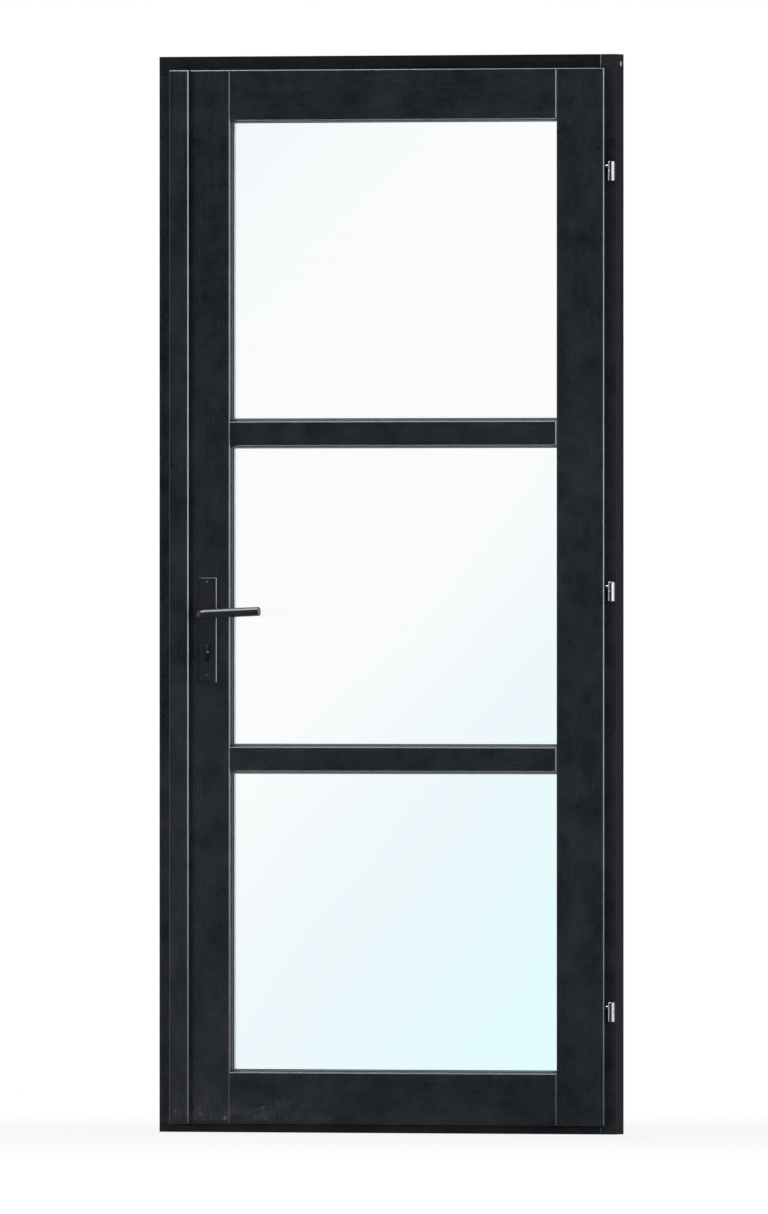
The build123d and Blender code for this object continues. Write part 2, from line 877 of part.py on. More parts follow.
def make_backplate(y_low, y_high, room_side):
    """Long plate with rounded corners, pierced for the lever, the cylinder and the screws."""
    half_width = plate_width / 2
    plate = block(spindle_x - half_width, spindle_x + half_width, y_low, y_high, plate_bottom, plate_top)
    plate = fillet(plate.edges().filter_by(Axis.Y), plate_corner)
    plate = chamfer(plate.faces().sort_by(Axis.Y)[room_side].edges(), plate_edge)
    plate = plate - rod_y(spindle_x, y_low, y_high, handle_height, lever_radius + lever_fit)
    plate = plate - cylinder_prism(y_low, y_high, cylinder_hole_gap)
    for screw in plate_screws:
        plate = plate - screw
    return plate


def make_lever():
    """Round bar bent once: a neck out of the plate and a grip that rises a little to the hinge side."""
    grip_y = leaf_front - lever_standoff
    path = FilletPolyline(
        (spindle_x, leaf_front - lever_seat_gap, handle_height),
        (spindle_x, grip_y, handle_height),
        (spindle_x + lever_reach, grip_y, handle_height + lever_rise),
        radius=elbow_radius,
    )
    section = Plane(origin=path @ 0, z_dir=path % 0) * Circle(lever_radius)
    bar = sweep(section, path)
    bar = chamfer(bar.faces().sort_by(Axis.X)[-1].edges(), lever_end_chamfer)
    return bar - spindle_bar(leaf_front - spindle_insertion - spindle_fit, leaf_front, spindle_fit)


def make_knob():
    """Turned knob behind the stile: a neck through the plate and a bevelled head."""
    head_start = leaf_back + knob_neck_length
    head_end = leaf_back + knob_reach
    neck = rod_y(spindle_x, leaf_back + lever_seat_gap, head_end - knob_rim, handle_height, lever_radius)
    head = rod_y(spindle_x, head_start, head_end, handle_height, knob_radius)
    head = chamfer(head.faces().sort_by(Axis.Y)[-1].edges(), knob_rim)
    head = chamfer(head.faces().sort_by(Axis.Y)[0].edges(), knob_back_chamfer)
    return neck + head - spindle_bar(leaf_back, leaf_back + spindle_insertion + spindle_fit, spindle_fit)


save("outer_backplate", make_backplate(leaf_front - plate_thickness, leaf_front, 0))
save("inner_backplate", make_backplate(leaf_back, leaf_back + plate_thickness, -1))
save("backplate_screws", *plate_screws)
save("outer_lever", make_lever())
save("inner_knob", make_knob())
save("spindle", spindle_bar(leaf_front - spindle_insertion, leaf_back + spindle_insertion))
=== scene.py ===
import json
import math
from collections import namedtuple

import bmesh
import bpy
from mathutils import Matrix, Vector


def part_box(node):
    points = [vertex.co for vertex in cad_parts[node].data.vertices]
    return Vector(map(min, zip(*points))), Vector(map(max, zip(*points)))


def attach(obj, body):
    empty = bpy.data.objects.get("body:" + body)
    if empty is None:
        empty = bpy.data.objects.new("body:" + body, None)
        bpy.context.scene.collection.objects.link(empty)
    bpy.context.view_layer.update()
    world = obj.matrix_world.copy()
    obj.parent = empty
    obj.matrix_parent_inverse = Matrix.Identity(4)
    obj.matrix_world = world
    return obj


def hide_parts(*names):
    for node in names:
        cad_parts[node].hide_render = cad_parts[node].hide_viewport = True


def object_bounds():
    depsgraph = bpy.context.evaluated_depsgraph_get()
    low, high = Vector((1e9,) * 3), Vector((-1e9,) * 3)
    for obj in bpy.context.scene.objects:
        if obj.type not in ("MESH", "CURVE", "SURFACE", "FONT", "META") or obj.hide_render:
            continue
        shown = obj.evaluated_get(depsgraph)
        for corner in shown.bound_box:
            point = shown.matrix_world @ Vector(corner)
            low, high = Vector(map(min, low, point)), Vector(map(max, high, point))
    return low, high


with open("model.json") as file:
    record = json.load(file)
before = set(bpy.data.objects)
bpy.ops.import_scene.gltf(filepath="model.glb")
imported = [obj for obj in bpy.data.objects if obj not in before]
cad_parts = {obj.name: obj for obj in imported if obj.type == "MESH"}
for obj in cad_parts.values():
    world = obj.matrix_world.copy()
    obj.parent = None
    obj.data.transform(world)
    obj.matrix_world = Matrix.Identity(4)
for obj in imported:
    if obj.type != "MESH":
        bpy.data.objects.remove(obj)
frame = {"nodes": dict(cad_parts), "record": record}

# The dressed door set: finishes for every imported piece, screw heads with their drives,
# a white studio and a level camera. Lengths are in metres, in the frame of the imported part.

cad_low, cad_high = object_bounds()
middle = (cad_low + cad_high) / 2
nodes = frame["nodes"]
slots = {row["node"]: row["material_slot"] for row in frame["record"]["subparts"]}


# Shader helpers

bevel_samples = 6
arris_turn = (0.985, 0.86)
edge_turn = (0.995, 0.80)
# Which arrises take a painted highlight: those facing the hinges, and less so those facing up.
highlight_turn = (0.05, 0.30)
highlight_above = 0.25


def new_material(name):
    """New node material, with its tree and its principled shader."""
    material = bpy.data.materials.new(name)
    material.use_nodes = True
    tree = material.node_tree
    return material, tree, tree.nodes["Principled BSDF"]


def add(tree, kind, **values):
    """New shader node with its properties set."""
    node = tree.nodes.new(kind)
    for key, value in values.items():
        setattr(node, key, value)
    return node


def object_space(tree, scale=(1.0, 1.0, 1.0)):
    """Coordinates of the piece in metres, stretched by scale."""
    place = add(tree, "ShaderNodeTexCoord")
    mapping = add(tree, "ShaderNodeMapping")
    mapping.inputs["Scale"].default_value = scale
    tree.links.new(place.outputs["Object"], mapping.inputs["Vector"])
    return mapping.outputs["Vector"]


def object_axes(tree):
    """Coordinates of the piece in metres, one by one."""
    split = add(tree, "ShaderNodeSeparateXYZ")
    tree.links.new(object_space(tree), split.inputs["Vector"])
    return split.outputs


def stroke_space(tree, angle, width, length):
    """Coordinates turned in the plane of the leaf and drawn out into strokes of a width and length."""
    place = add(tree, "ShaderNodeTexCoord")
    mapping = add(tree, "ShaderNodeMapping", vector_type="TEXTURE")
    mapping.inputs["Rotation"].default_value = (0.0, math.radians(angle), 0.0)
    mapping.inputs["Scale"].default_value = (width, width, length)
    tree.links.new(place.outputs["Object"], mapping.inputs["Vector"])
    return mapping.outputs["Vector"]


def noise(tree, vector, scale, detail=4.0, roughness=0.55, distortion=0.0):
    """Noise value over a coordinate."""
    node = add(tree, "ShaderNodeTexNoise")
    node.inputs["Scale"].default_value = scale
    node.inputs["Detail"].default_value = detail
    node.inputs["Roughness"].default_value = roughness
    node.inputs["Distortion"].default_value = distortion
    tree.links.new(vector, node.inputs["Vector"])
    return node.outputs["Fac"]


def remap(tree, value, low, high, to_low=0.0, to_high=1.0):
    """Linear map of one range to another, held at its ends."""
    node = add(tree, "ShaderNodeMapRange")
    for key, number in (("From Min", low), ("From Max", high), ("To Min", to_low), ("To Max", to_high)):
        node.inputs[key].default_value = number
    tree.links.new(value, node.inputs["Value"])
    return node.outputs["Result"]


def math_node(tree, operation, first, second):
    """One arithmetic step on two values, either of which may be a number."""
    node = add(tree, "ShaderNodeMath", operation=operation)
    for socket, value in zip(node.inputs, (first, second)):
        if isinstance(value, (int, float)):
            socket.default_value = value
        else:
            tree.links.new(value, socket)
    return node.outputs["Value"]


def multiply(tree, first, second):
    """Product of two values."""
    return math_node(tree, "MULTIPLY", first, second)


def mix_colour(tree, share, first, second):
    """Blend of two colours, given as sockets or as red, green, blue."""
    node = add(tree, "ShaderNodeMix", data_type="RGBA")
    sockets = [socket for socket in node.inputs if socket.type == "RGBA"]
    for socket, colour in zip(sockets, (first, second)):
        if isinstance(colour, tuple):
            socket.default_value = (*colour, 1.0)
        else:
            tree.links.new(colour, socket)
    tree.links.new(share, node.inputs["Factor"])
    return next(socket for socket in node.outputs if socket.type == "RGBA")


def bump(tree, shader, height, strength, distance, rounding=0.0):
    """Relief on a shader's surface, its sharp edges eased by a radius where one is given."""
    node = add(tree, "ShaderNodeBump")
    node.inputs["Strength"].default_value = strength
    node.inputs["Distance"].default_value = distance
    if rounding > 0.0:
        eased = add(tree, "ShaderNodeBevel", samples=bevel_samples)
        eased.inputs["Radius"].default_value = rounding
        tree.links.new(eased.outputs["Normal"], node.inputs["Normal"])
    tree.links.new(height, node.inputs["Height"])
    tree.links.new(node.outputs["Normal"], shader.inputs["Normal"])


def edge_share(tree, radius):
    """How near a point is to a sharp or rounded edge, from 0 to 1."""
    rounded = add(tree, "ShaderNodeBevel", samples=bevel_samples)
    rounded.inputs["Radius"].default_value = radius
    flat = add(tree, "ShaderNodeNewGeometry")
    turn = add(tree, "ShaderNodeVectorMath", operation="DOT_PRODUCT")
    tree.links.new(rounded.outputs["Normal"], turn.inputs[0])
    tree.links.new(flat.outputs["True Normal"], turn.inputs[1])
    return remap(tree, turn.outputs["Value"], *edge_turn)


def arris_share(tree):
    """Where a squared piece is rounded off: 0 on faces along the axes, 1 on the turn between them.
    The second value is where a highlight is painted: its part towards the hinges, and less so above."""
    place = add(tree, "ShaderNodeTexCoord")
    split = add(tree, "ShaderNodeSeparateXYZ")
    tree.links.new(place.outputs["Normal"], split.inputs["Vector"])
    parts = [math_node(tree, "ABSOLUTE", split.outputs[axis], 0.0) for axis in ("X", "Y", "Z")]
    largest = math_node(tree, "MAXIMUM", math_node(tree, "MAXIMUM", parts[0], parts[1]), parts[2])
    share = remap(tree, largest, *arris_turn)
    # Painted highlight share: arrises turned towards the hinges, and less so up.
    beside = remap(tree, split.outputs["X"], *highlight_turn)
    above = remap(tree, split.outputs["Z"], *highlight_turn, 0.0, highlight_above)
    return share, multiply(tree, share, math_node(tree, "MAXIMUM", beside, above))


# Stain on the timber: its colours and how far dust and scuffs show, with painted light low down, painted
# shade on the head and sill, and painted highlights on the arrises.
# A pair of places runs from where a mark starts to where it is full.

paint_colour = (0.0062, 0.0090, 0.0126)
paint_thin_colour = (0.0218, 0.0252, 0.0292)
paint_grain_colour = (0.0150, 0.0165, 0.0190)
# Pale painted highlights for the arrises of the stain and of the cover strip.
paint_highlight_colour = (0.360, 0.385, 0.420)
strip_highlight_colour = (0.560, 0.590, 0.630)
raw_colours = ((0.0235, 0.0222, 0.0248), (0.0420, 0.0394, 0.0428))
dust_and_light_colour = (0.16, 0.16, 0.155)
scuff_colour = (0.190, 0.196, 0.196)
paint_ior = 1.5
upright_grain = (95.0, 95.0, 3.0)
level_grain = (3.0, 95.0, 95.0)
raw_grain = (150.0, 150.0, 5.0)
# Painted shade: the head and sill take the stain darkened to this share.
frame_painted_shade = 0.5
grain_strength = 0.24
speck_strength = 0.22
# Painted light that lifts the stain low down and towards the lock side.
painted_light_strength = 0.048
painted_light_top = 1.3
painted_light_sides = (0.45, -0.45)
painted_light_at_hinges = 0.25
painted_light_mottle = (0.7, 1.2)
scuff_heights = (0.082, 0.032)
scuff_foot = (0.022, 0.027)
scuff_sides = (-0.05, -0.28)
scuff_edge = (-0.452, -0.446)
scuff_strength = 0.90
scuff_haze = 0.035
# Painted highlight on the arrises that face the hinges and up, weaker towards the foot.
highlight_top = 0.95
highlight_at_foot = 0.25
highlight_mottle = 0.75
paint_roughness = (0.22, 0.31)
scuff_roughness = 0.3
rubbed_gloss = 0.06
mottle_relief = 0.4
raw_roughness = (0.82, 0.95)
raw_specular = 0.02


def scuff_strokes(tree, angle, width, length, low, high):
    """Short strokes at an angle, which come up between two levels of the noise."""
    space = stroke_space(tree, angle, width, length)
    return remap(tree, noise(tree, space, scale=1.0, detail=2.0, roughness=0.5, distortion=1.0), low, high)


def scuff_share(tree):
    """Scuffs and dried splashes low on the leaf, thickest towards its lock side, from 0 to 1."""
    axes = object_axes(tree)
    low = multiply(tree, remap(tree, axes["Z"], *scuff_heights), remap(tree, axes["Z"], *scuff_foot))
    across = multiply(tree, remap(tree, axes["X"], *scuff_sides), remap(tree, axes["X"], *scuff_edge))
    where = multiply(tree, low, across)
    rising = scuff_strokes(tree, angle=38.0, width=0.0021, length=0.0048, low=0.60, high=0.70)
    falling = scuff_strokes(tree, angle=-64.0, width=0.0019, length=0.0040, low=0.62, high=0.72)
    strokes = math_node(tree, "MAXIMUM", rising, falling)
    patches = remap(tree, noise(tree, object_space(tree), scale=34.0, detail=4.0, roughness=0.6), 0.36, 0.60)
    marks = math_node(tree, "ADD", multiply(tree, strokes, scuff_strength), scuff_haze)
    return multiply(tree, where, multiply(tree, patches, marks))


def painted_light_share(tree, mottle):
    """Painted light that lifts the stain, stronger low down and towards the lock side."""
    axes = object_axes(tree)
    low = remap(tree, axes["Z"], painted_light_top, 0.0)
    side = remap(tree, axes["X"], *painted_light_sides, painted_light_at_hinges, 1.0)
    painted_lift = multiply(tree, multiply(tree, low, side), painted_light_strength)
    return multiply(tree, painted_lift, remap(tree, mottle, 0.0, 1.0, *painted_light_mottle))


def painted_timber(name, grain_scale, highlight_colour=paint_highlight_colour, tone=1.0):
    """Dark stain on planed timber: mottled, with the grain just showing, dust, scuffs, painted light low down
    and paler arrises, which are painted highlights.
    """
    material, tree, shader = new_material(name)
    plain = object_space(tree)
    along = object_space(tree, grain_scale)
    mottle = remap(tree, noise(tree, plain, scale=14.0, detail=9.0, roughness=0.72), 0.34, 0.70)
    grain = noise(tree, along, scale=1.0, detail=7.0, roughness=0.6, distortion=0.4)
    specks = remap(tree, noise(tree, plain, scale=420.0, detail=2.0, roughness=0.5), 0.70, 0.76)
    patches = remap(tree, noise(tree, plain, scale=26.0, detail=5.0, roughness=0.6), 0.55, 0.72)
    thick, thin = [tuple(channel * tone for channel in stain) for stain in (paint_colour, paint_thin_colour)]
    colour = mix_colour(tree, mottle, thick, thin)
    grain_share = multiply(tree, remap(tree, grain, 0.50, 0.75), grain_strength)
    colour = mix_colour(tree, grain_share, colour, paint_grain_colour)
    dust_and_light_share = multiply(tree, multiply(tree, specks, patches), speck_strength)
    # Dust specks, with painted light added in the same pale colour low down and towards the lock side.
    dust_and_light_share = math_node(tree, "ADD", dust_and_light_share, painted_light_share(tree, mottle))
    colour = mix_colour(tree, dust_and_light_share, colour, dust_and_light_colour)
    scuffs = scuff_share(tree)
    colour = mix_colour(tree, scuffs, colour, scuff_colour)
    # Painted highlight on the arrises that face the hinges and up, weaker towards the foot.
    edge, highlit_edge = arris_share(tree)
    painted_highlight = multiply(tree, highlit_edge, remap(tree, mottle, 0.0, 1.0, highlight_mottle, 1.0))
    painted_highlight = multiply(tree, painted_highlight, remap(tree, object_axes(tree)["Z"], 0.0, highlight_top, highlight_at_foot, 1.0))
    colour = mix_colour(tree, painted_highlight, colour, highlight_colour)
    tree.links.new(colour, shader.inputs["Base Color"])
    matt = remap(tree, grain, 0.3, 0.75, *paint_roughness)
    dulled = math_node(tree, "ADD", matt, multiply(tree, scuffs, scuff_roughness))
    rubbed = multiply(tree, edge, rubbed_gloss)
    tree.links.new(math_node(tree, "SUBTRACT", dulled, rubbed), shader.inputs["Roughness"])
    shader.inputs["IOR"].default_value = paint_ior
    relief = math_node(tree, "ADD", grain, multiply(tree, mottle, mottle_relief))
    bump(tree, shader, relief, strength=0.17, distance=0.0004)
    return material


def raw_timber(name):
    """Rough-sawn outer sides of the frame, thinly stained."""
    material, tree, shader = new_material(name)
    along = noise(tree, object_space(tree, raw_grain), scale=1.0, detail=6.0, roughness=0.65, distortion=0.3)
    blotch = noise(tree, object_space(tree), scale=16.0, detail=5.0, roughness=0.6)
    share = multiply(tree, remap(tree, along, 0.35, 0.7), remap(tree, blotch, 0.3, 0.7, 0.4, 1.0))
    tree.links.new(mix_colour(tree, share, *raw_colours), shader.inputs["Base Color"])
    tree.links.new(remap(tree, along, 0.3, 0.7, *raw_roughness), shader.inputs["Roughness"])
    shader.inputs["Specular IOR Level"].default_value = raw_specular
    bump(tree, shader, along, strength=0.5, distance=0.0006)
    return material


# Metal, glass, rubber and bare wood

coat_colours = ((0.0135, 0.0155, 0.0180), (0.0195, 0.0215, 0.0245))
coat_edge_colour = (0.045, 0.048, 0.052)
coat_edge_radius = 0.0012
# Painted highlight for the arrises of a squared coated piece.
coat_highlight_colour = (0.300, 0.315, 0.335)
coat_roughness = (0.17, 0.25)
coat_ior = 1.5
smudge_shade = 0.78
glass_clear = (0.985, 0.990, 0.990)
# Painted reflection: cool colours laid on the glass along a slant.
glass_reflection_tints = (
    (-0.80, -0.35, (0.930, 0.972, 0.990)),
    (-0.30, 0.25, (0.880, 0.990, 0.998)),
    (-1.45, -2.00, (0.945, 0.975, 0.986)),
)
glass_slope = 0.9
glass_drift = 0.35
glass_ior = 1.25
rubber_lift = 1.6
rubber_roughness = (0.55, 0.8)
dowel_colours = ((0.50, 0.31, 0.16), (0.34, 0.19, 0.09))
dowel_grain = (6.0, 300.0, 300.0)
dowel_roughness = 0.6


def metal(name, colour, roughness, streak_scale, streak=0.12, rounding=0.0):
    """Plated or brushed metal with fine streaks and smudges."""
    material, tree, shader = new_material(name)
    streaks = noise(tree, object_space(tree, streak_scale), scale=1.0, detail=5.0, roughness=0.6)
    smudges = noise(tree, object_space(tree), scale=60.0, detail=4.0, roughness=0.6)
    dark = tuple(channel * smudge_shade for channel in colour)
    mixed = mix_colour(tree, remap(tree, smudges, 0.4, 0.7), colour, dark)
    tree.links.new(mixed, shader.inputs["Base Color"])
    spread = remap(tree, streaks, 0.3, 0.7, roughness - streak / 2, roughness + streak / 2)
    tree.links.new(spread, shader.inputs["Roughness"])
    shader.inputs["Metallic"].default_value = 1.0
    bump(tree, shader, streaks, strength=0.15, distance=0.0001, rounding=rounding)
    return material


def coated_metal(name, squared=False):
    """Satin black powder coat with a fine pebble, and a painted highlight on the arrises of a squared piece
    that face the hinges and up.
    """
    material, tree, shader = new_material(name)
    plain = object_space(tree)
    pebble = noise(tree, plain, scale=1400.0, detail=2.0, roughness=0.5)
    cloud = remap(tree, noise(tree, plain, scale=40.0, detail=4.0, roughness=0.6), 0.35, 0.7)
    colour = mix_colour(tree, cloud, *coat_colours)
    if squared:
        # Painted highlight on the arrises that face the hinges and up.
        colour = mix_colour(tree, arris_share(tree)[1], colour, coat_highlight_colour)
    else:
        colour = mix_colour(tree, edge_share(tree, coat_edge_radius), colour, coat_edge_colour)
    tree.links.new(colour, shader.inputs["Base Color"])
    tree.links.new(remap(tree, cloud, 0.0, 1.0, *coat_roughness), shader.inputs["Roughness"])
    shader.inputs["IOR"].default_value = coat_ior
    bump(tree, shader, pebble, strength=0.18, distance=0.00008)
    return material


def window_glass(name):
    """Clear float glass with a painted reflection: a faint cool colour that deepens towards its corners,
    along a slant.
    """
    material, tree, shader = new_material(name)
    axes = object_axes(tree)
    slant = math_node(tree, "SUBTRACT", axes["X"], multiply(tree, axes["Z"], glass_slope))
    drift = multiply(tree, noise(tree, object_space(tree), scale=1.3, detail=2.0, roughness=0.4), glass_drift)
    slant = math_node(tree, "ADD", slant, drift)
    colour = glass_clear
    # Painted reflection, deepening along the slant.
    for start, full, reflection_tint in glass_reflection_tints:
        colour = mix_colour(tree, remap(tree, slant, start, full), colour, reflection_tint)
    tree.links.new(colour, shader.inputs["Base Color"])
    shader.inputs["Transmission Weight"].default_value = 1.0
    shader.inputs["Roughness"].default_value = 0.0
    shader.inputs["IOR"].default_value = glass_ior
    return material


def rubber(name, colour):
    """Matt rubber or plastic with a fine grain."""
    material, tree, shader = new_material(name)
    grain = noise(tree, object_space(tree), scale=700.0, detail=3.0, roughness=0.5)
    lighter = tuple(channel * rubber_lift for channel in colour)
    mixed = mix_colour(tree, remap(tree, grain, 0.4, 0.7), colour, lighter)
    tree.links.new(mixed, shader.inputs["Base Color"])
    tree.links.new(remap(tree, grain, 0.3, 0.7, *rubber_roughness), shader.inputs["Roughness"])
    bump(tree, shader, grain, strength=0.2, distance=0.0001)
    return material


def bare_wood(name):
    """Pale turned dowel."""
    material, tree, shader = new_material(name)
    grain = noise(tree, object_space(tree, dowel_grain), scale=1.0, detail=6.0, roughness=0.6, distortion=0.5)
    colour = mix_colour(tree, remap(tree, grain, 0.35, 0.7), *dowel_colours)
    tree.links.new(colour, shader.inputs["Base Color"])
    shader.inputs["Roughness"].default_value = dowel_roughness
    bump(tree, shader, grain, strength=0.3, distance=0.0002)
    return material


upright_paint = painted_timber("upright_paint", upright_grain)
strip_paint = painted_timber("strip_paint", upright_grain, strip_highlight_colour)
level_paint = painted_timber("level_paint", level_grain)
# A darker copy of the level stain for the head and sill: painted shade.
frame_shaded_paint = painted_timber("frame_shaded_paint", level_grain, tone=frame_painted_shade)
raw_paint = raw_timber("raw_paint")
zinc = metal(
    "zinc", (0.78, 0.80, 0.83), roughness=0.20,
    streak_scale=(900.0, 900.0, 60.0), streak=0.10, rounding=0.0004,
)
lock_steel = metal("lock_steel", (0.55, 0.56, 0.58), roughness=0.34, streak_scale=(60.0, 900.0, 900.0))
dark_nickel = metal(
    "dark_nickel", (0.20, 0.20, 0.21), roughness=0.20,
    streak_scale=(900.0, 60.0, 900.0), streak=0.10, rounding=0.0006,
)
spacer_metal = metal("spacer_metal", (0.74, 0.78, 0.82), roughness=0.38, streak_scale=(40.0, 900.0, 40.0))
black_metal = coated_metal("black_metal")
plate_metal = coated_metal("plate_metal", squared=True)
glass = window_glass("glass")
gasket_rubber = rubber("gasket_rubber", (0.010, 0.010, 0.011))
seal_rubber = rubber("seal_rubber", (0.150, 0.170, 0.200))
block_plastic = rubber("block_plastic", (0.020, 0.020, 0.022))
dowel_wood = bare_wood("dowel_wood")


# Finishes: by name or ending where a piece has one of its own, and otherwise by its slot

node_finishes = {
    "cover_strip": strip_paint,
    "hinge_jamb": upright_paint,
    "lock_jamb": upright_paint,
    "lock_stile": upright_paint,
    "hinge_stile": upright_paint,
    "head": frame_shaded_paint,
    "sill": frame_shaded_paint,
}
ending_finishes = {"_glazing_seal": seal_rubber, "_backplate": plate_metal}
slot_finishes = {
    "painted_timber": level_paint,
    "zinc": zinc,
    "lock_steel": lock_steel,
    "cylinder_metal": dark_nickel,
    "spacer": spacer_metal,
    "black_metal": black_metal,
    "glass": glass,
    "gasket": gasket_rubber,
    "block_plastic": block_plastic,
    "dowel_wood": dowel_wood,
}
frame_members = ("hinge_jamb", "lock_jamb", "head", "sill")
outer_face_margin = 0.0004


def finish_of(name, slot):
    """Material that a node is finished in."""
    if name in node_finishes:
        return node_finishes[name]
    for ending, material in ending_finishes.items():
        if name.endswith(ending):
            return material
    return slot_finishes[slot]


def dress(piece, material):
    """One material on the whole of a piece."""
    piece.data.materials.clear()
    piece.data.materials.append(material)


def roughen_outside(node_name):
    """Rough timber on the outer faces of a frame member, which don't show once it is fitted."""
    piece = nodes[node_name]
    piece.data.materials.append(raw_paint)
    reach = cad_high.x - outer_face_margin
    top = cad_high.z - outer_face_margin
    for face in piece.data.polygons:
        if abs(face.center.x) > reach or face.center.z > top or face.center.z < outer_face_margin:
            face.material_index = 1


for node_name, slot_name in slots.items():
    dress(nodes[node_name], finish_of(node_name, slot_name))
for frame_member in frame_members:
    roughen_outside(frame_member)


# Small turned pieces: screws with a cross recess, and the cylinder's plugs with their keyways.
# A screw's shares are of its head's radius, apart from the cross's taper and depth and the shoulder's rise.

turned_steps = 32
cross_arm_share = 0.50
cross_half_share = 0.13
cross_taper = 0.7
cross_depth_share = 0.6
crown_share = 0.66
shoulder_share = 0.86
shoulder_rise_share = 0.66
plug_bevel = 0.0006
keyway_half_width = 0.0013
keyway_half_height = 0.00425
keyway_depth = 0.014

ScrewSize = namedtuple("ScrewSize", "head_radius head_depth shank_radius length")
plate_screw = ScrewSize(head_radius=0.0046, head_depth=0.0026, shank_radius=0.0025, length=0.052)
corner_screw = ScrewSize(head_radius=0.005, head_depth=0.003, shank_radius=0.0025, length=0.080)
lock_screw = ScrewSize(head_radius=0.0042, head_depth=0.0024, shank_radius=0.0022, length=0.028)
cylinder_screw = ScrewSize(head_radius=0.0046, head_depth=0.0024, shank_radius=0.0025, length=0.060)
plate_screw_rise = 0.0012

frame_side = 0.490
frame_top = 2.180
head_middle = 2.16075
sill_middle = 0.0105
lock_jamb_middle = -0.4635
corner_screw_line = 0.0075
jamb_face = -0.437
leaf_edge = -0.434
lock_line = -0.012
spindle_line = -0.379
plate_face = -0.043
plate_screw_heights = (0.9235, 1.1125)
strike_screw_heights = (0.955, 1.099)
forend_screw_heights = (0.917, 1.111)
cylinder_screw_height = 0.958

toward_room = (0.0, -1.0, 0.0)
toward_back = (0.0, 1.0, 0.0)
toward_hinge = (1.0, 0.0, 0.0)
toward_lock = (-1.0, 0.0, 0.0)
upward = (0.0, 0.0, 1.0)
downward = (0.0, 0.0, -1.0)


def to_spot(place, outward):
    """Matrix from a piece turned about Z to its place, looking outward."""
    turn = Vector(upward).rotation_difference(Vector(outward)).to_matrix().to_4x4()
    return Matrix.Translation(place) @ turn


def outline(mesh, matrix, points, height):
    """Vertices of a flat outline at a height."""
    return [mesh.verts.new(matrix @ Vector((x, y, height))) for x, y in points]


def ring(mesh, matrix, radius, height):
    """Vertices of a circle at a height."""
    angles = [math.tau * step / turned_steps for step in range(turned_steps)]
    return outline(mesh, matrix, [(radius * math.cos(a), radius * math.sin(a)) for a in angles], height)


def skin(mesh, rings):
    """Walls between each outline and the next."""
    for upper, lower in zip(rings, rings[1:]):
        for index, corner in enumerate(upper):
            following = (index + 1) % len(upper)
            mesh.faces.new((corner, lower[index], lower[following], upper[following]))


def face_with_hole(mesh, outer, inner):
    """Flat face between two outlines."""
    loops = []
    for loop in (outer, inner):
        loops += [mesh.edges.new((loop[index - 1], loop[index])) for index in range(len(loop))]
    bmesh.ops.triangle_fill(mesh, use_beauty=True, use_dissolve=False, edges=loops)


def add_screw(mesh, place, outward, size, rise):
    """One countersunk screw, its rim at place, its crown standing up by rise, with a cross recess."""
    matrix = to_spot(place, outward)
    arm = size.head_radius * cross_arm_share
    half = size.head_radius * cross_half_share
    cross = [
        (arm, -half), (arm, half), (half, half), (half, arm), (-half, arm), (-half, half),
        (-arm, half), (-arm, -half), (-half, -half), (-half, -arm), (half, -arm), (half, -half),
    ]
    tapered = [(x * cross_taper, y * cross_taper) for x, y in cross]
    mouth = outline(mesh, matrix, cross, rise)
    bottom = outline(mesh, matrix, tapered, rise - size.head_depth * cross_depth_share)
    crown = ring(mesh, matrix, size.head_radius * crown_share, rise)
    shoulder = ring(mesh, matrix, size.head_radius * shoulder_share, rise * shoulder_rise_share)
    rim = ring(mesh, matrix, size.head_radius, 0.0)
    neck = ring(mesh, matrix, size.shank_radius, -size.head_depth)
    tip = ring(mesh, matrix, size.shank_radius, -size.length)
    face_with_hole(mesh, crown, mouth)
    skin(mesh, [mouth, bottom])
    mesh.faces.new(bottom)
    skin(mesh, [crown, shoulder, rim, neck, tip])
    mesh.faces.new(tip)


def add_plug(mesh, place, outward, radius, length):
    """One plug of the lock cylinder, its face at place, with a bevelled rim and keyway."""
    matrix = to_spot(place, outward)
    corners = ((1, -1), (1, 1), (-1, 1), (-1, -1))
    slot = [(x * keyway_half_width, y * keyway_half_height) for x, y in corners]
    lip = [
        (x * (keyway_half_width + plug_bevel), y * (keyway_half_height + plug_bevel))
        for x, y in corners
    ]
    face = ring(mesh, matrix, radius - plug_bevel, 0.0)
    mouth = outline(mesh, matrix, lip, 0.0)
    throat = outline(mesh, matrix, slot, -plug_bevel)
    bottom = outline(mesh, matrix, slot, -keyway_depth)
    rim = ring(mesh, matrix, radius, -plug_bevel)
    end = ring(mesh, matrix, radius, -length)
    face_with_hole(mesh, face, mouth)
    skin(mesh, [mouth, throat, bottom])
    mesh.faces.new(bottom)
    skin(mesh, [face, rim, end])
    mesh.faces.new(end)


def place_dressed(node_name, body, mesh):
    """A finished mesh in place of its node, with the node's finish and body."""
    bmesh.ops.recalc_face_normals(mesh, faces=mesh.faces)
    data = bpy.data.meshes.new(f"{node_name}_dressed")
    mesh.to_mesh(data)
    mesh.free()
    piece = bpy.data.objects.new(f"{node_name}_dressed", data)
    bpy.context.scene.collection.objects.link(piece)
    dress(piece, nodes[node_name].data.materials[0])
    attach(piece, body)
    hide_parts(node_name)
    return piece


def dress_screws(node_name, body, size, spots, rise=0.0):
    """One piece with all the screws of a node, in place of its plain ones."""
    mesh = bmesh.new()
    for place, outward in spots:
        add_screw(mesh, Vector(place), outward, size, rise)
    return place_dressed(node_name, body, mesh)


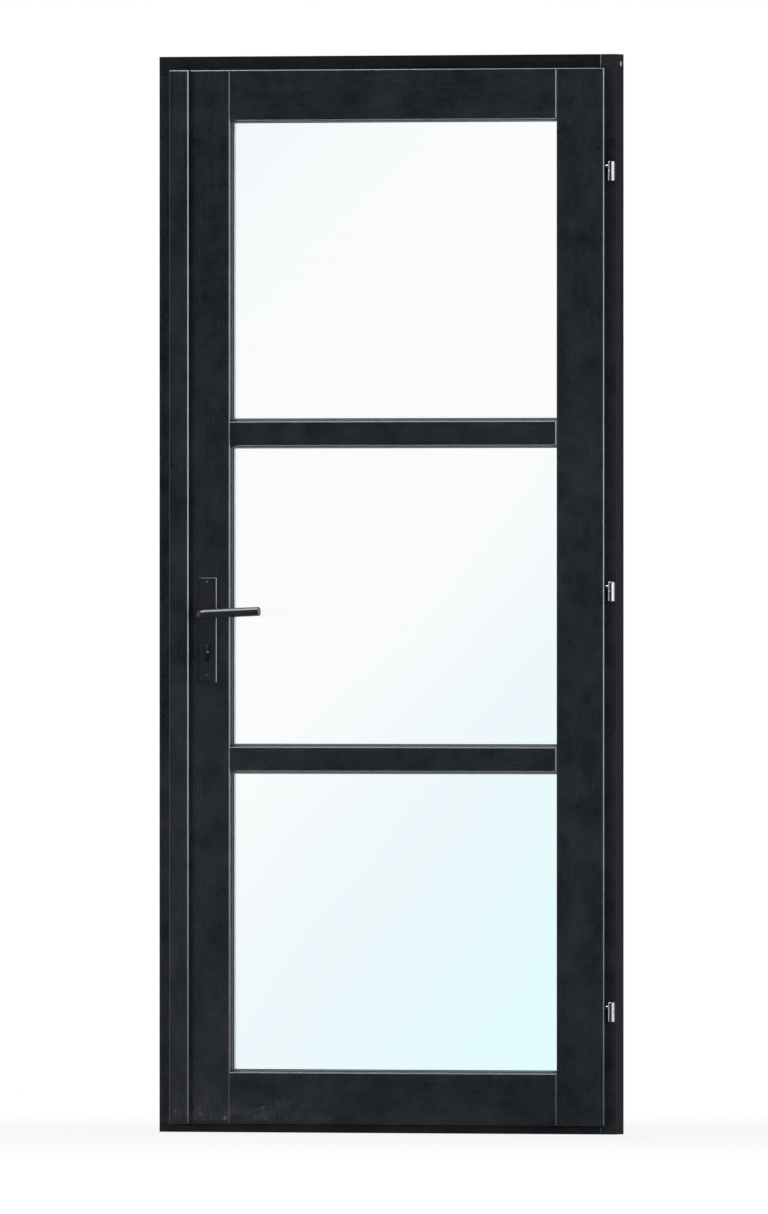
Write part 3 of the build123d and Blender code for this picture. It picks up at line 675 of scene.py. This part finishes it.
def dress_plug(node_name, outward):
    """One plug with its keyway, in place of its plain one."""
    low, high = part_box(node_name)
    face_y = low.y if outward[1] < 0.0 else high.y
    mesh = bmesh.new()
    place = Vector(((low.x + high.x) / 2, face_y, (low.z + high.z) / 2))
    add_plug(mesh, place, outward, (high.x - low.x) / 2, high.y - low.y)
    place_dressed(node_name, "key_cam", mesh)


dress_plug("outer_plug", toward_room)
dress_plug("inner_plug", toward_back)
dress_screws("backplate_screws", "leaf", plate_screw, [
    ((spindle_line, plate_face, height), toward_room) for height in plate_screw_heights
], rise=plate_screw_rise)
corner_screws = dress_screws("corner_screws", "frame", corner_screw, [
    ((frame_side, corner_screw_line, head_middle), toward_hinge),
    ((frame_side, corner_screw_line, sill_middle), toward_hinge),
    ((lock_jamb_middle, corner_screw_line, frame_top), upward),
    ((lock_jamb_middle, corner_screw_line, 0.0), downward),
])
dress_screws("strike_screws", "frame", lock_screw, [
    ((jamb_face, lock_line, height), toward_hinge) for height in strike_screw_heights
])
dress_screws("forend_screws", "leaf", lock_screw, [
    ((leaf_edge, lock_line, height), toward_lock) for height in forend_screw_heights
])
dress_screws("cylinder_screw", "leaf", cylinder_screw, [
    ((leaf_edge, lock_line, cylinder_screw_height), toward_lock),
])

# Only the upper screw of the hinge jamb is bare: the others are stained over with the timber.
corner_screws.data.materials.append(raw_paint)
for screw_face in corner_screws.data.polygons:
    if screw_face.center.x < middle.x or screw_face.center.z < middle.z:
        screw_face.material_index = 1


# Studio: a white surround, dim where the front mirrors the room, four soft lamps that light
# the surfaces, and two panels that only show as highlights.

room_mirrored = 0.03
back_mirrored = 0.55
back_turn = (-0.20, 0.55)
side_mirrored = 0.55
side_turn = (-0.62, -0.85)
room_light = 0.24
white = (1.0, 1.0, 1.0, 1.0)
floor_half = 30.0
floor_colour = (0.86, 0.86, 0.86, 1.0)
floor_roughness = 0.9
floor_specular = 0.1
shadow_reach = (0.8, 3.0)
floor_glow = (0.86, 1.0)
lamp_colour = (1.0, 1.0, 1.0)
glint_colour = (0.90, 0.95, 1.0)


def seen_directly(tree, path):
    """1 for a ray that comes from the camera, straight or through glass."""
    return math_node(tree, "MAXIMUM", path.outputs["Is Camera Ray"], path.outputs["Is Transmission Ray"])


def make_world():
    """White where it is seen, dimmer where it is mirrored, and a soft light all round."""
    world = bpy.data.worlds.new("studio")
    bpy.context.scene.world = world
    world.use_nodes = True
    tree = world.node_tree
    surround = tree.nodes["Background"]
    path = add(tree, "ShaderNodeLightPath")
    shown = seen_directly(tree, path)
    place = add(tree, "ShaderNodeTexCoord")
    split = add(tree, "ShaderNodeSeparateXYZ")
    tree.links.new(place.outputs["Generated"], split.inputs["Vector"])
    behind = remap(tree, split.outputs["Y"], *back_turn, room_mirrored, back_mirrored)
    beside = remap(tree, split.outputs["X"], *side_turn, 0.0, side_mirrored)
    mirrored = math_node(tree, "MAXIMUM", behind, beside)
    glossy = multiply(tree, path.outputs["Is Glossy Ray"], mirrored)
    diffuse = multiply(tree, path.outputs["Is Diffuse Ray"], room_light)
    strength = math_node(tree, "MAXIMUM", math_node(tree, "MAXIMUM", shown, glossy), diffuse)
    surround.inputs["Color"].default_value = white
    tree.links.new(strength, surround.inputs["Strength"])


def make_floor():
    """Pale floor: plain to the lamps, close to white in the picture, with the shadow kept."""
    mesh = bpy.data.meshes.new("floor")
    corners = [(x * floor_half, y * floor_half, 0.0) for x, y in ((-1, -1), (1, -1), (1, 1), (-1, 1))]
    mesh.from_pydata(corners, [], [(0, 1, 2, 3)])
    floor = bpy.data.objects.new("floor", mesh)
    bpy.context.scene.collection.objects.link(floor)
    material, tree, shader = new_material("floor")
    shader.inputs["Base Color"].default_value = floor_colour
    shader.inputs["Roughness"].default_value = floor_roughness
    shader.inputs["Specular IOR Level"].default_value = floor_specular
    glow = add(tree, "ShaderNodeEmission")
    blend = add(tree, "ShaderNodeMixShader")
    shown = seen_directly(tree, add(tree, "ShaderNodeLightPath"))
    reach = add(tree, "ShaderNodeVectorMath", operation="LENGTH")
    tree.links.new(object_space(tree), reach.inputs[0])
    fade = remap(tree, reach.outputs["Value"], *shadow_reach, *floor_glow)
    tree.links.new(multiply(tree, shown, fade), blend.inputs["Fac"])
    tree.links.new(shader.outputs["BSDF"], blend.inputs[1])
    tree.links.new(glow.outputs["Emission"], blend.inputs[2])
    tree.links.new(blend.outputs["Shader"], tree.nodes["Material Output"].inputs["Surface"])
    dress(floor, material)
    floor.visible_glossy = False


def make_lamp(name, place, aim, width, height, power, glint):
    """Soft rectangle: a glint only shows as a highlight, any other lamp only lights the surface."""
    data = bpy.data.lights.new(name, "AREA")
    data.shape = "RECTANGLE"
    data.size = width
    data.size_y = height
    data.energy = power
    data.color = glint_colour if glint else lamp_colour
    lamp = bpy.data.objects.new(name, data)
    lamp.location = place
    lamp.visible_camera = False
    lamp.visible_transmission = False
    lamp.visible_glossy = glint
    lamp.visible_diffuse = not glint
    lamp.rotation_euler = (Vector(aim) - Vector(place)).to_track_quat("-Z", "Y").to_euler()
    bpy.context.scene.collection.objects.link(lamp)


make_world()
make_floor()
make_lamp("key", (3.0, -2.6, 1.0), middle, width=2.0, height=2.0, power=80.0, glint=False)
make_lamp("overhead", (0.2, -1.2, 4.6), middle, width=3.0, height=2.0, power=20.0, glint=False)
make_lamp("fill", (-3.6, -4.2, 0.7), middle, width=2.6, height=1.3, power=124.0, glint=False)
make_lamp("back", (-2.2, 3.6, 1.8), middle, width=2.4, height=2.4, power=110.0, glint=False)
make_lamp("right_panel", (3.0, -0.7, 1.6), (0.0, 0.0, 1.6), width=3.8, height=3.0, power=42.0, glint=True)
make_lamp("top_panel", (-2.0, -1.25, 4.5), (-0.3, 0.0, 1.4), width=2.4, height=3.6, power=280.0, glint=True)


# Camera: level and far off, at the angle of the photograph.

picture_height = 1214.0
picture_middle = (384.0, 607.0)
pixels_per_metre = 494.2
object_middle_column = 391.0
ground_row = 1133.0
camera_azimuth = math.radians(19.66)
camera_lens = 900.0
camera_sensor = 36.0
camera_clip_start = 1.0


def make_camera():
    """Camera whose picture has the object's middle and the ground at their column and row."""
    data = bpy.data.cameras.new("camera")
    data.lens = camera_lens
    data.sensor_width = camera_sensor
    right = Vector((math.cos(camera_azimuth), math.sin(camera_azimuth), 0.0))
    back = Vector((math.sin(camera_azimuth), -math.cos(camera_azimuth), 0.0))
    aim = right * ((picture_middle[0] - object_middle_column) / pixels_per_metre)
    aim.z = (ground_row - picture_middle[1]) / pixels_per_metre
    distance = picture_height / pixels_per_metre * camera_lens / camera_sensor
    camera = bpy.data.objects.new("camera", data)
    camera.location = aim + back * distance
    camera.rotation_euler = (-back).to_track_quat("-Z", "Y").to_euler()
    data.clip_start = camera_clip_start
    data.clip_end = distance * 2
    bpy.context.scene.collection.objects.link(camera)
    bpy.context.scene.camera = camera


make_camera()
bpy.context.scene.view_settings.view_transform = "Standard"
